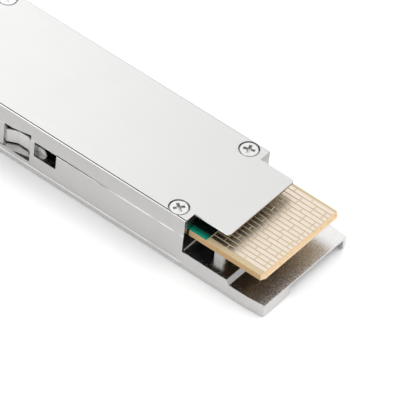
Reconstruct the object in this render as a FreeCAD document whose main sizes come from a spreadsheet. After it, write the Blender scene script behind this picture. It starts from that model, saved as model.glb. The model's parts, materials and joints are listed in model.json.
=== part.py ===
import FreeCAD, Part
import os
import Sketcher

# Pluggable optical transceiver, in millimetres.
# +X points to the card edge, X = 0 is the rear shoulder where the card leaves the housing.
# +Y runs across, +Z up, and the housing rests on Z = 0.

SIZES = {
    # housing shell
    "body_width": 18.35,
    "body_height": 8.5,
    "housing_length": 64.3,
    "side_wall": 0.9,
    "floor_height": 1.6,
    "foot_chamfer": 0.2,
    "band_height": 0.85,
    "band_proud": 0.055,
    "ledge_height": 5.65,
    "ledge_proud": 0.04,
    "lip_width": 0.18,
    "seam_gap": 0.09,
    "bulkhead_thickness": 1.2,
    "slot_clearance": 0.1,
    "root_run": 0.1,
    "root_rise": 0.2,
    "groove_height": 0.2,
    "groove_depth": 0.35,
    "groove_end": 9.6,
    # cover
    "cover_thickness": 1.0,
    "cover_offset": 0.07,
    "tongue_length": 5.87,
    "tongue_width": 14.0,
    "tongue_thickness": 0.25,
    "tongue_corner": 0.45,
    "clamp_width": 0.9,
    "clamp_length": 2.0,
    "clamp_clearance": 0.05,
    # cover screws
    "screw_rear_inset": 2.35,
    "screw_pitch": 42.4,
    "screw_spacing": 14.96,
    "screw_head_diameter": 2.5,
    "screw_head_height": 0.55,
    "screw_shank_diameter": 1.5,
    "screw_shank_length": 2.4,
    "screw_clearance": 0.03,
    "cross_length": 1.68,
    "cross_width": 0.45,
    "cross_depth": 0.42,
    "counterbore_diameter": 3.0,
    "counterbore_depth": 0.6,
    "boss_diameter": 2.7,
    "thread_depth": 2.6,
    # tray under the card
    "tray_length": 14.0,
    "tray_sill": 0.3,
    "tray_front_height": 2.85,
    "tray_rear_height": 2.15,
    "tray_step_start": 7.6,
    "tray_step_run": 0.5,
    "tray_end_chamfer": 0.3,
    "tray_taper_length": 3.0,
    "tray_taper": 0.3,
    "undercut_start": 8.5,
    "undercut_height": 1.85,
    "undercut_near": 3.4,
    "undercut_far": 8.2,
    "post_start": 3.7,
    "post_length": 1.9,
    "post_width": 0.8,
    "post_offset": 6.66,
    "post_corner": 0.25,
    "post_height": 1.4,
    # circuit board
    "board_top": 6.43,
    "board_thickness": 1.0,
    "paddle_width": 16.42,
    "paddle_length": 12.87,
    "paddle_corner": 0.5,
    "mating_bevel": 0.3,
    "mating_bevel_run": 0.5,
    "shoulder_gap": 0.05,
    "neck_width": 11.8,
    "neck_length": 4.6,
    "board_clearance": 0.28,
    "main_end": 42.4,
    "shelf_depth": 0.83,
    "shelf_reach": 0.8,
    "mask_thickness": 0.03,
    "mask_inset": 0.12,
    "mask_end": 9.87,
    # contacts, with their ends and splits measured back from the mating edge of the card
    "contact_pitch": 0.8,
    "contact_width": 0.62,
    "contact_thickness": 0.035,
    "contact_gap": 0.13,
    "contact_start": 9.67,
    "contact_end": 0.47,
    "contact_shift": 0.2,
    "ground_split_inner": 7.01,
    "ground_split_outer": 4.08,
    "signal_split_inner": 8.03,
    "signal_split_middle": 5.43,
    "signal_split_outer": 2.96,
    "signal_split_tip": 1.25,
    "power_split_inner": 6.62,
    "power_split_outer": 3.6,
    "power_split_tip": 0.9,
    # latch windows and pockets in the side walls
    "latch_window_front": 31.1,
    "latch_stop": 26.5,
    "latch_window_top": 5.75,
    "slit_length": 4.0,
    "slit_height": 0.15,
    "slit_depth": 0.35,
    "latch_ramp_start": 30.0,
    "latch_ramp_depth": 0.72,
    "latch_ramp_bottom": 1.45,
    "latch_ramp_top": 6.6,
    "ramp_lip": 0.1,
    "ramp_slot_bottom": 0.5,
    "catch_window_front": 25.8,
    "catch_window_rear": 22.0,
    "catch_window_bottom": 3.15,
    "catch_window_top": 5.7,
    # latch arms
    "arm_thickness": 0.25,
    "arm_height": 2.28,
    "arm_lift": 0.22,
    "arm_depth": 0.65,
    "arm_dip_depth": 1.45,
    "arm_tip_depth": 1.0,
    "arm_dip_start": 31.2,
    "arm_dip_floor_start": 29.6,
    "arm_dip_floor_end": 27.9,
    "arm_tip_start": 27.1,
    "arm_tip_end": 24.4,
    "arm_tip_corner": 1.1,
    "arm_front_reach": 6.0,
    "arm_clearance": 0.06,
    "lug_thickness": 0.3,
    "lug_reach": 1.95,
    "lug_height": 2.1,
    # return springs
    "spring_diameter": 1.8,
    "spring_wire": 0.24,
    "spring_turns": 4.0,
    "spring_space": 5.1,
    # pull tab
    "tab_length": 33.4,
    "tab_gap": 0.6,
    "tab_thickness": 1.4,
    "tab_height": 3.2,
    "tab_side_inset": 0.2,
    "tab_socket_clearance": 0.02,
    "tab_edge": 0.5,
    "grip_thickening": 1.6,
    # optical port in the nose
    "front_wall": 1.5,
    "nose_floor": 0.7,
    "nose_roof": 0.7,
    "port_width": 9.8,
    "port_height": 6.5,
    "port_depth": 9.5,
    "port_recess": 0.2,
    "snout_width": 11.0,
    "receptacle_width": 13.2,
    "receptacle_reach": 12.25,
    "receptacle_clearance": 0.05,
    "key_width": 2.6,
    "key_depth": 0.2,
    "hook_length": 1.4,
    "hook_reach": 0.45,
    "hook_height": 2.6,
    "hook_inset": 2.6,
    "gasket_thickness": 0.4,
    "stop_rib_thickness": 1.45,
    "stop_rib_gap": 9.4,
    # fibre path
    "ferrule_width": 6.4,
    "ferrule_height": 2.5,
    "ferrule_length": 8.0,
    "ferrule_flange_width": 7.4,
    "ferrule_flange_height": 3.2,
    "ferrule_fit": 0.03,
    "pin_diameter": 0.7,
    "pin_spacing": 4.6,
    "pin_length": 7.0,
    "pin_proud": 2.0,
    "pin_fit": 0.01,
    "ribbon_width": 3.1,
    "ribbon_thickness": 0.32,
    "clip_thickness": 0.4,
    "clip_width": 11.6,
    "clip_height": 4.6,
    "clip_slot_width": 3.6,
    "clip_slot_height": 0.9,
    "lens_front": 37.0,
    "lens_length": 4.2,
    "lens_width": 6.4,
    "lens_drop": 2.1,
    "lens_facet": 1.0,
    # chips under the board
    "processor_front": 24.0,
    "processor_length": 12.0,
    "processor_width": 11.0,
    "processor_substrate": 0.7,
    "processor_lid": 1.1,
    "processor_lid_inset": 0.9,
    "thermal_pad_thickness": 0.8,
    "pedestal_margin": 0.4,
    "driver_front": 31.4,
    "driver_length": 3.0,
    "driver_width": 2.6,
    "driver_spacing": 3.6,
    "driver_height": 0.8,
    "controller_front": 10.2,
    "controller_size": 5.0,
    "controller_height": 0.85,
    "inductor_front": 41.4,
    "inductor_length": 2.5,
    "inductor_width": 2.0,
    "inductor_height": 1.2,
    "inductor_offset": 5.2,
    "capacitor_length": 1.0,
    "capacitor_width": 0.5,
    "capacitor_height": 0.5,
    "capacitor_front": 25.0,
    "capacitor_pitch": 2.2,
    "capacitor_gap": 0.65,
}

doc = FreeCAD.newDocument("transceiver")
sheet = doc.addObject("Spreadsheet::Sheet", "Sizes")
for row, (alias, number) in enumerate(SIZES.items(), start=1):
    sheet.set(f"A{row}", alias.replace("_", " "))
    sheet.set(f"B{row}", str(number))
    sheet.setAlias(f"B{row}", alias)
doc.recompute()


class Length:
    """A length with its value in millimetres and the sheet formula that it comes from."""

    def __init__(self, value, formula):
        self.value = value
        self.formula = formula

    def joined(self, sign, other, value):
        return Length(value, f"({self.formula} {sign} {other.formula})")

    def __add__(self, other):
        other = length(other)
        return self.joined("+", other, self.value + other.value)

    def __sub__(self, other):
        other = length(other)
        return self.joined("-", other, self.value - other.value)

    def __mul__(self, other):
        other = length(other)
        return self.joined("*", other, self.value * other.value)

    def __truediv__(self, other):
        other = length(other)
        return self.joined("/", other, self.value / other.value)

    def __neg__(self):
        return self * -1

    __rmul__ = __mul__


def length(number):
    if isinstance(number, Length):
        return number
    return Length(float(number), f"({number})")


class Sheet:
    """Gives each cell of the sheet as a Length under its alias."""

    def __getattr__(self, alias):
        return Length(float(getattr(sheet, alias)), f"Sizes.{alias}")


size = Sheet()


def origin_plane(body, role):
    for feature in body.Origin.OriginFeatures:
        if feature.Role == role:
            return feature


def new_body(name):
    body = doc.addObject("PartDesign::Body", name)
    body.Label = name
    return body


def new_sketch(body, name, plane, low, high):
    """Sketch on the low side of a slab that runs from low to high along the plane's own axis."""
    sketch = body.newObject("Sketcher::SketchObject", f"{name}_sketch")
    sketch.AttachmentSupport = (origin_plane(body, plane), [""])
    sketch.MapMode = "FlatFace"
    # the XZ plane faces -Y, so its slab starts at the high side
    start = -length(high) if plane == "XZ_Plane" else length(low)
    sketch.setExpression("AttachmentOffset.Base.z", start.formula)
    return sketch


def bind(sketch, kind, geometry, point, value):
    index = sketch.addConstraint(Sketcher.Constraint(kind, -1, 1, geometry, point, value.value))
    sketch.setExpression(f"Constraints[{index}]", value.formula)


def add_outline(sketch, points):
    """Closed outline of straight edges, each corner bound to the sheet."""
    corners = [(length(a), length(b)) for a, b in points]
    vectors = [FreeCAD.Vector(a.value, b.value, 0) for a, b in corners]
    first = sketch.GeometryCount
    count = len(corners)
    for index in range(count):
        edge = Part.LineSegment(vectors[index], vectors[(index + 1) % count])
        sketch.addGeometry(edge, False)
    for index in range(count):
        following = first + (index + 1) % count
        sketch.addConstraint(Sketcher.Constraint("Coincident", first + index, 2, following, 1))
    for index, (a, b) in enumerate(corners):
        bind(sketch, "DistanceX", first + index, 1, a)
        bind(sketch, "DistanceY", first + index, 1, b)


def add_circle(sketch, centre, radius):
    a, b = length(centre[0]), length(centre[1])
    circle = Part.Circle(FreeCAD.Vector(a.value, b.value, 0), FreeCAD.Vector(0, 0, 1), radius.value)
    geometry = sketch.addGeometry(circle, False)
    index = sketch.addConstraint(Sketcher.Constraint("Radius", geometry, radius.value))
    sketch.setExpression(f"Constraints[{index}]", radius.formula)
    bind(sketch, "DistanceX", geometry, 3, a)
    bind(sketch, "DistanceY", geometry, 3, b)


def extrude(body, kind, name, sketch, low, high):
    feature = body.newObject(f"PartDesign::{kind}", name)
    feature.Profile = sketch
    feature.setExpression("Length", (length(high) - length(low)).formula)
    feature.Reversed = kind == "Pocket"
    sketch.Visibility = False
    return feature


def pad(body, name, plane, low, high, *outlines):
    sketch = new_sketch(body, name, plane, low, high)
    for points in outlines:
        add_outline(sketch, points)
    return extrude(body, "Pad", name, sketch, low, high)


def pocket(body, name, plane, low, high, *outlines):
    sketch = new_sketch(body, name, plane, low, high)
    for points in outlines:
        add_outline(sketch, points)
    return extrude(body, "Pocket", name, sketch, low, high)


def round_pad(body, name, low, high, centres, radius):
    sketch = new_sketch(body, name, "XY_Plane", low, high)
    for centre in centres:
        add_circle(sketch, centre, radius)
    return extrude(body, "Pad", name, sketch, low, high)


def round_pocket(body, name, low, high, centres, radius):
    sketch = new_sketch(body, name, "XY_Plane", low, high)
    for centre in centres:
        add_circle(sketch, centre, radius)
    return extrude(body, "Pocket", name, sketch, low, high)


def rectangle(low_a, high_a, low_b, high_b):
    return [(low_a, low_b), (high_a, low_b), (high_a, high_b), (low_a, high_b)]


def both_sides(points):
    """The outline and its mirror image across the middle plane, for a plan outline."""
    return points, [(a, -length(b)) for a, b in points]


def symmetric(points):
    """A section outline given on its +Y half, from the bottom up, closed with its mirror image."""
    return points + [(-length(a), b) for a, b in reversed(points)]


def edges_along(shape, axis, places, tolerance=0.02):
    """Names of the straight edges along an axis that pass through the given places."""
    names = []
    for index, edge in enumerate(shape.Edges, start=1):
        if edge.Curve.TypeId != "Part::GeomLine":
            continue
        if edge.Curve.Direction.cross(axis).Length > tolerance:
            continue
        middle = edge.CenterOfMass
        for place in places:
            offset = middle - place
            if (offset - axis * offset.dot(axis)).Length < tolerance:
                names.append(f"Edge{index}")
    return names


def flat_rims(shape, heights, end_x, tolerance=0.001):
    """Names of the edges that lie flat at the given heights, without those across the end at end_x."""
    names = []
    for index, edge in enumerate(shape.Edges, start=1):
        box = edge.BoundBox
        if box.ZLength > tolerance or box.XMin > end_x - tolerance:
            continue
        if min(abs(box.ZMin - height) for height in heights) < tolerance:
            names.append(f"Edge{index}")
    return names


def fillet(body, name, radius, axis, places):
    doc.recompute()
    base = body.Tip
    feature = body.newObject("PartDesign::Fillet", name)
    feature.Base = (base, edges_along(base.Shape, axis, places))
    feature.setExpression("Radius", radius.formula)
    return feature


ALONG_Y = FreeCAD.Vector(0, 1, 0)
ALONG_Z = FreeCAD.Vector(0, 0, 1)

# shared places
nose_front = -size.housing_length
half_width = size.body_width / 2
wall_half = half_width - size.band_proud
upper_half = wall_half - size.ledge_proud
inner_half = upper_half - size.side_wall
wall_middle = upper_half - size.side_wall / 2
lip_inner = upper_half - size.lip_width
cover_half = lip_inner - size.seam_gap
seat_height = size.body_height - size.cover_thickness
past_side = half_width + size.side_wall
past_top = size.body_height + size.cover_thickness
past_rear = size.tray_length + size.tray_sill
past_nose = nose_front - size.front_wall

main_half = inner_half - size.board_clearance
board_bottom = size.board_top - size.board_thickness
core_top = size.board_top - size.mask_thickness
core_bottom = board_bottom + size.mask_thickness
shelf_bottom = board_bottom - size.shelf_depth

rear_screw = -size.screw_rear_inset
front_screw = rear_screw - size.screw_pitch
screw_half = size.screw_spacing / 2
screw_places = [(x, y) for x in (rear_screw, front_screw) for y in (screw_half, -screw_half)]
screw_seat = size.body_height - size.counterbore_depth

arm_bottom = size.floor_height + size.arm_lift
arm_top = arm_bottom + size.arm_height
arm_middle = arm_bottom + size.arm_height / 2
arm_outer = wall_half - size.arm_depth
arm_inner = arm_outer - size.arm_thickness

nose_inside = nose_front + size.front_wall
receptacle_half = size.receptacle_width / 2
receptacle_bottom = size.nose_floor
receptacle_top = size.body_height - size.nose_roof
receptacle_front = nose_inside + size.gasket_thickness
receptacle_rear = nose_front + size.receptacle_reach
port_middle = (receptacle_bottom + receptacle_top) / 2
rib_rear = receptacle_rear + size.stop_rib_thickness
lug_front = rib_rear + size.spring_space

processor_bottom = board_bottom - size.processor_substrate - size.processor_lid
pedestal_top = processor_bottom - size.thermal_pad_thickness
processor_rear = size.processor_length - size.processor_front


def make_housing_base():
    body = new_body("housing_base")
    section = [
        (half_width - size.foot_chamfer, 0),
        (half_width, size.foot_chamfer),
        (half_width, size.band_height),
        (wall_half, size.band_height + size.band_proud),
        (wall_half, size.ledge_height),
        (upper_half, size.ledge_height + size.ledge_proud),
        (upper_half, size.body_height),
        (lip_inner, size.body_height),
        (lip_inner, seat_height),
        (inner_half, seat_height),
        (inner_half, size.floor_height),
    ]
    pad(body, "shell", "YZ_Plane", nose_front, 0, symmetric(section))

    step_end = size.tray_step_start + size.tray_step_run
    tray_side = [
        (-size.tray_sill, 0),
        (size.tray_length - size.tray_end_chamfer, 0),
        (size.tray_length, size.tray_end_chamfer),
        (size.tray_length, size.tray_rear_height),
        (step_end, size.tray_rear_height),
        (size.tray_step_start, size.tray_front_height),
        (-size.tray_sill, size.tray_front_height),
    ]
    pad(body, "tray", "XZ_Plane", -wall_half, wall_half, tray_side)
    taper = [
        (size.tray_length - size.tray_taper_length, wall_half),
        (past_rear, wall_half - size.tray_taper),
        (past_rear, past_side),
        (size.tray_length - size.tray_taper_length, past_side),
    ]
    pocket(body, "tray_taper", "XY_Plane", -size.tray_sill, past_top, *both_sides(taper))
    undercut = rectangle(size.undercut_start, past_rear, -size.undercut_near, size.undercut_far)
    pocket(body, "tray_undercut", "XY_Plane", -size.tray_sill, size.undercut_height, undercut)

    post_inner = size.post_offset - size.post_width / 2
    post_outer = size.post_offset + size.post_width / 2
    post_end = size.post_start + size.post_length
    post = rectangle(size.post_start, post_end, post_inner, post_outer)
    post_top = size.tray_front_height + size.post_height
    pad(body, "card_posts", "XY_Plane", size.floor_height, post_top, *both_sides(post))
    post_corners = [
        FreeCAD.Vector(x.value, side * y.value, 0)
        for x in (size.post_start, post_end)
        for y in (post_inner, post_outer)
        for side in (1, -1)
    ]
    fillet(body, "card_post_corners", size.post_corner, ALONG_Z, post_corners)

    front_wall = rectangle(nose_front, nose_inside, -wall_middle, wall_middle)
    pad(body, "nose_wall", "XY_Plane", size.nose_floor, seat_height, front_wall)
    rib = rectangle(receptacle_rear, rib_rear, size.stop_rib_gap / 2, wall_middle)
    pad(body, "stop_ribs", "XY_Plane", size.nose_floor, seat_height, *both_sides(rib))
    bulkhead = rectangle(-size.bulkhead_thickness, 0, -wall_middle, wall_middle)
    pad(body, "rear_bulkhead", "XY_Plane", size.nose_floor, seat_height, bulkhead)
    root = [
        (-size.tray_sill, size.tray_front_height),
        (size.root_run, size.tray_front_height),
        (0, size.tray_front_height + size.root_rise),
        (-size.tray_sill, size.tray_front_height + size.root_rise),
    ]
    pad(body, "bulkhead_root", "XZ_Plane", -wall_middle, wall_middle, root)
    slot_half = size.neck_width / 2 + size.slot_clearance
    slot = rectangle(-size.bulkhead_thickness, 0, -slot_half, slot_half)
    pocket(body, "card_slot", "XY_Plane", board_bottom - size.slot_clearance, past_top, slot)
    shelf = rectangle(-size.main_end, -size.neck_length, inner_half - size.shelf_reach, wall_middle)
    pad(body, "board_shelves", "XY_Plane", shelf_bottom, board_bottom, *both_sides(shelf))
    pedestal_half = size.processor_width / 2 + size.pedestal_margin
    pedestal_front = -size.processor_front - size.pedestal_margin
    pedestal_rear = processor_rear + size.pedestal_margin
    pedestal = rectangle(pedestal_front, pedestal_rear, -pedestal_half, pedestal_half)
    pad(body, "pedestal", "XY_Plane", size.nose_floor, pedestal_top, pedestal)

    boss_radius = size.boss_diameter / 2
    round_pad(body, "rear_bosses", size.nose_floor, seat_height, screw_places[:2], boss_radius)
    round_pad(body, "front_bosses", shelf_bottom, seat_height, screw_places[2:], boss_radius)
    bore_radius = size.screw_shank_diameter / 2 + size.screw_clearance
    round_pocket(body, "screw_bores", seat_height - size.thread_depth, past_top, screw_places, bore_radius)
    counterbore_radius = size.counterbore_diameter / 2
    round_pocket(body, "lip_reliefs", screw_seat, past_top, screw_places, counterbore_radius)

    seat_half = receptacle_half + size.receptacle_clearance
    nose_seat = rectangle(nose_inside, receptacle_rear, -seat_half, seat_half)
    pocket(body, "receptacle_seat", "XY_Plane", size.nose_floor, seat_height, nose_seat)
    snout_half = size.snout_width / 2 + size.receptacle_clearance
    port = rectangle(past_nose, nose_inside, -snout_half, snout_half)
    pocket(body, "port_opening", "XY_Plane", size.nose_floor, past_top, port)

    channel_inner = arm_inner - size.arm_clearance
    channel_outer = arm_outer + size.arm_clearance
    channel = rectangle(past_nose, -size.latch_window_front, channel_inner, channel_outer)
    channel_top = arm_top + size.arm_clearance
    pocket(body, "arm_channels", "XY_Plane", size.floor_height, channel_top, *both_sides(channel))

    # the latch window goes in past the board shelf
    window_inner = inner_half - size.shelf_reach
    latch_window = rectangle(-size.latch_window_front, -size.latch_stop, window_inner, past_side)
    pocket(body, "latch_windows", "XY_Plane", size.floor_height, size.latch_window_top,
           *both_sides(latch_window))
    ramp = [
        (-size.latch_ramp_start, wall_half),
        (-size.latch_stop, wall_half - size.latch_ramp_depth),
        (-size.latch_stop, past_side),
        (-size.latch_ramp_start, past_side),
    ]
    pocket(body, "latch_ramps", "XY_Plane", size.latch_ramp_bottom, size.latch_ramp_top,
           *both_sides(ramp))
    # a slot runs down along the foot of the ramp, inside a thin lip
    ramp_run = size.latch_ramp_start - size.latch_stop
    slot_front = ramp_run * size.ramp_lip / size.latch_ramp_depth - size.latch_ramp_start
    ramp_slot = [
        (slot_front, wall_half - size.ramp_lip),
        (-size.latch_stop, wall_half - size.latch_ramp_depth),
        (-size.latch_stop, wall_half - size.ramp_lip),
    ]
    pocket(body, "ramp_slots", "XY_Plane", size.ramp_slot_bottom, size.latch_ramp_bottom,
           *both_sides(ramp_slot))
    catch_window = rectangle(-size.catch_window_front, -size.catch_window_rear, inner_half, past_side)
    pocket(body, "catch_windows", "XY_Plane", size.catch_window_bottom, size.catch_window_top,
           *both_sides(catch_window))

    # the arm's slit runs on in the wall ahead of the window
    slit_front = -size.latch_window_front - size.slit_length
    slit = rectangle(slit_front, -size.latch_window_front, wall_half - size.slit_depth, past_side)
    pocket(body, "arm_slits", "XY_Plane", size.floor_height, size.floor_height + size.slit_height,
           *both_sides(slit))
    # the parting groove over the ledge fades out towards the card end
    groove = [
        (-size.catch_window_rear, wall_half - size.groove_depth),
        (-size.groove_end, wall_half),
        (-size.groove_end, past_side),
        (-size.catch_window_rear, past_side),
    ]
    pocket(body, "parting_grooves", "XY_Plane", size.ledge_height, size.ledge_height + size.groove_height,
           *both_sides(groove))
    return body


def make_housing_cover():
    body = new_body("housing_cover")
    # the cover lies against the lip on its +Y side
    plate = rectangle(nose_front, 0, size.cover_offset - cover_half, size.cover_offset + cover_half)
    pad(body, "plate", "XY_Plane", seat_height, size.body_height, plate)
    tongue_half = size.tongue_width / 2
    tongue = rectangle(-size.neck_length, size.tongue_length, -tongue_half, tongue_half)
    tongue_bottom = size.body_height - size.tongue_thickness
    pad(body, "tongue", "XY_Plane", tongue_bottom, size.body_height, tongue)
    tips = [FreeCAD.Vector(size.tongue_length.value, side * tongue_half.value, 0) for side in (1, -1)]
    fillet(body, "tongue_corners", size.tongue_corner, ALONG_Z, tips)

    clamp_inner = main_half - size.clamp_width
    clamp_rear = -size.neck_length - size.clamp_length
    clamp_front = -size.main_end + size.clamp_length
    clamp_bottom = size.board_top + size.clamp_clearance
    rear_clamp = rectangle(clamp_rear, -size.neck_length, clamp_inner, main_half)
    front_clamp = rectangle(-size.main_end, clamp_front, clamp_inner, main_half)
    clamps = both_sides(rear_clamp) + both_sides(front_clamp)
    pad(body, "board_clamps", "XY_Plane", clamp_bottom, screw_seat, *clamps)

    # the rear wall of the cover closes the slot that the card passes through
    rear_wall_half = size.neck_width / 2
    rear_wall = rectangle(-size.bulkhead_thickness, 0, -rear_wall_half, rear_wall_half)
    pad(body, "rear_wall", "XY_Plane", clamp_bottom, screw_seat, rear_wall)

    round_pocket(body, "counterbores", screw_seat, past_top, screw_places, size.counterbore_diameter / 2)
    hole_radius = size.screw_shank_diameter / 2 + size.screw_clearance
    round_pocket(body, "screw_holes", board_bottom, past_top, screw_places, hole_radius)
    seat_half = receptacle_half + size.receptacle_clearance
    nose_seat = rectangle(nose_inside, receptacle_rear, -seat_half, seat_half)
    pocket(body, "receptacle_seat", "XY_Plane", board_bottom, receptacle_top, nose_seat)
    snout_half = size.snout_width / 2 + size.receptacle_clearance
    snout_seat = rectangle(past_nose, nose_inside, -snout_half, snout_half)
    pocket(body, "snout_seat", "XY_Plane", board_bottom, receptacle_top, snout_seat)
    return body


# degrees that the cross of each screw is turned from +X
SCREW_TURNS = (20, 54, 38, 75)


def make_cover_screws():
    pattern = new_body("screw_pattern")
    head_top = screw_seat + size.screw_head_height
    round_pad(pattern, "screw_head", screw_seat, head_top, [(0, 0)], size.screw_head_diameter / 2)
    shank_end = screw_seat - size.screw_shank_length
    round_pad(pattern, "screw_shank", shank_end, screw_seat, [(0, 0)], size.screw_shank_diameter / 2)
    long_half = size.cross_length / 2
    short_half = size.cross_width / 2
    cross = [
        (long_half, -short_half),
        (long_half, short_half),
        (short_half, short_half),
        (short_half, long_half),
        (-short_half, long_half),
        (-short_half, short_half),
        (-long_half, short_half),
        (-long_half, -short_half),
        (-short_half, -short_half),
        (-short_half, -long_half),
        (short_half, -long_half),
        (short_half, -short_half),
    ]
    pocket(pattern, "cross_recess", "XY_Plane", head_top - size.cross_depth, past_top, cross)
    doc.recompute()
    copies = []
    for (x, y), turn in zip(screw_places, SCREW_TURNS):
        copy = pattern.Shape.copy()
        copy.rotate(FreeCAD.Vector(0, 0, 0), ALONG_Z, turn)
        copy.translate(FreeCAD.Vector(x.value, y.value, 0))
        copies.append(copy)
    return group("cover_screws", copies)


def group(name, solids):
    feature = doc.addObject("Part::Feature", name)
    feature.Label = name
    feature.Shape = Part.makeCompound(solids)
    return feature


def block(name, low, high):
    """A plain box whose corners are bound to the sheet."""
    box = doc.addObject("Part::Box", name)
    box.Label = name
    axes = (("Length", "x"), ("Width", "y"), ("Height", "z"))
    for (side, axis), start, end in zip(axes, low, high):
        box.setExpression(side, (length(end) - length(start)).formula)
        box.setExpression(f"Placement.Base.{axis}", length(start).formula)
    return box


def board_outline(inset, end, bevelled):
    """Plan of the board: wide paddle, neck between the rear bosses, and the main part."""
    paddle = size.paddle_width / 2 - inset
    neck = size.neck_width / 2 - inset
    main = main_half - inset
    half = [
        (-size.main_end + inset, main),
        (-size.neck_length - inset, main),
        (-size.neck_length - inset, neck),
        (size.shoulder_gap, neck),
        (size.shoulder_gap, paddle),
    ]
    if bevelled:
        half += [(end - size.paddle_corner, paddle), (end, paddle - size.paddle_corner)]
    else:
        half += [(end, paddle)]
    return half + [(a, -b) for a, b in reversed(half)]


def make_circuit_board():
    body = new_body("circuit_board")
    outline = board_outline(length(0), size.paddle_length, True)
    pad(body, "laminate", "XY_Plane", core_bottom, core_top, outline)
    bevel_start = size.paddle_length - size.mating_bevel_run
    past_card = size.paddle_length + size.mating_bevel_run
    upper = [
        (bevel_start, core_top),
        (size.paddle_length, core_top - size.mating_bevel),
        (past_card, core_top - size.mating_bevel),
        (past_card, core_top + size.mating_bevel),
        (bevel_start, core_top + size.mating_bevel),
    ]
    lower = [
        (bevel_start, core_bottom),
        (size.paddle_length, core_bottom + size.mating_bevel),
        (past_card, core_bottom + size.mating_bevel),
        (past_card, core_bottom - size.mating_bevel),
        (bevel_start, core_bottom - size.mating_bevel),
    ]
    pocket(body, "mating_edge", "XZ_Plane", -half_width, half_width, upper, lower)
    return body


def make_solder_mask(name, low, high):
    body = new_body(name)
    outline = board_outline(size.mask_inset, size.paddle_length - size.mask_end, False)
    pad(body, f"{name}_film", "XY_Plane", low, high, outline)
    return body


# one letter a column, from -Y to +Y: ground, signal or power
UPPER_COLUMNS = "GSSGSSGSSPSSGSSGSSG"
LOWER_COLUMNS = "GSSGSSGSPPSSGSSGSSG"


def make_contact_pads(name, columns, low):
    splits = {
        "G": [size.ground_split_inner, size.ground_split_outer],
        "S": [size.signal_split_inner, size.signal_split_middle,
              size.signal_split_outer, size.signal_split_tip],
        "P": [size.power_split_inner, size.power_split_outer, size.power_split_tip],
    }
    contact_start = size.paddle_length - size.contact_start
    contact_end = size.paddle_length - size.contact_end
    gap = size.contact_gap.value
    width = size.contact_width.value
    thickness = size.contact_thickness.value
    middle = (len(columns) - 1) / 2
    pads = []
    for index, kind in enumerate(columns):
        y = (index - middle) * size.contact_pitch.value + size.contact_shift.value
        ends = [(size.paddle_length - split).value for split in splits[kind]]
        starts = [contact_start.value] + [end + gap / 2 for end in ends]
        stops = [end - gap / 2 for end in ends] + [contact_end.value]
        for start, stop in zip(starts, stops):
            corner = FreeCAD.Vector(start, y - width / 2, low.value)
            pads.append(Part.makeBox(stop - start, width, thickness, corner))
    return group(name, pads)


def make_signal_processor():
    body = new_body("signal_processor")
    half = size.processor_width / 2
    front = -size.processor_front
    substrate_bottom = board_bottom - size.processor_substrate
    plan = rectangle(front, processor_rear, -half, half)
    pad(body, "substrate", "XY_Plane", substrate_bottom, board_bottom, plan)
    inset = size.processor_lid_inset
    lid = rectangle(front + inset, processor_rear - inset, inset - half, half - inset)
    pad(body, "lid", "XY_Plane", processor_bottom, substrate_bottom, lid)
    return body


def make_inductors():
    solids = []
    start = -size.inductor_front.value
    low = board_bottom.value - size.inductor_height.value
    for side in (-1, 1):
        y = side * size.inductor_offset.value - size.inductor_width.value / 2
        corner = FreeCAD.Vector(start, y, low)
        solids.append(Part.makeBox(size.inductor_length.value, size.inductor_width.value,
                                   size.inductor_height.value, corner))
    return group("power_inductors", solids)


CAPACITORS_IN_A_ROW = 6


def make_capacitors():
    solids = []
    middle = (size.processor_width / 2 + size.capacitor_gap + size.capacitor_width / 2).value
    low = (board_bottom - size.capacitor_height).value
    for step in range(CAPACITORS_IN_A_ROW):
        x = -size.capacitor_front.value + step * size.capacitor_pitch.value
        for side in (-1, 1):
            y = side * middle - size.capacitor_width.value / 2
            corner = FreeCAD.Vector(x, y, low)
            solids.append(Part.makeBox(size.capacitor_length.value, size.capacitor_width.value,
                                       size.capacitor_height.value, corner))
    return group("capacitors", solids)


def make_lens_block():
    body = new_body("lens_block")
    front = -size.lens_front
    rear = front + size.lens_length
    low = board_bottom - size.lens_drop
    # the slanted facet turns the light from the fibres down to the board
    side = [
        (front, board_bottom),
        (front, low),
        (rear - size.lens_facet, low),
        (rear, low + size.lens_facet),
        (rear, board_bottom),
    ]
    pad(body, "lens_body", "XZ_Plane", -size.lens_width / 2, size.lens_width / 2, side)
    return body


def make_ferrule():
    body = new_body("ferrule")
    front = rib_rear - size.ferrule_length
    half = size.ferrule_width / 2
    low = port_middle - size.ferrule_height / 2
    high = port_middle + size.ferrule_height / 2
    pad(body, "ferrule_nose", "XY_Plane", low, high, rectangle(front, receptacle_rear, -half, half))
    flange_half = size.ferrule_flange_width / 2
    flange_low = port_middle - size.ferrule_flange_height / 2
    flange_high = port_middle + size.ferrule_flange_height / 2
    flange = rectangle(receptacle_rear, rib_rear, -flange_half, flange_half)
    pad(body, "ferrule_flange", "XY_Plane", flange_low, flange_high, flange)
    hole_radius = size.pin_diameter / 2 + size.pin_fit
    pin_half = size.pin_spacing / 2
    sketch = new_sketch(body, "pin_holes", "YZ_Plane", front, rib_rear)
    add_circle(sketch, (pin_half, port_middle), hole_radius)
    add_circle(sketch, (-pin_half, port_middle), hole_radius)
    extrude(body, "Pocket", "pin_holes", sketch, front, rib_rear)
    return body


def make_guide_pins():
    front = rib_rear - size.ferrule_length - size.pin_proud
    pins = []
    for side in (-1, 1):
        base = FreeCAD.Vector(front.value, side * size.pin_spacing.value / 2, port_middle.value)
        pins.append(Part.makeCylinder(size.pin_diameter.value / 2, size.pin_length.value,
                                      base, FreeCAD.Vector(1, 0, 0)))
    return group("guide_pins", pins)


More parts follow.
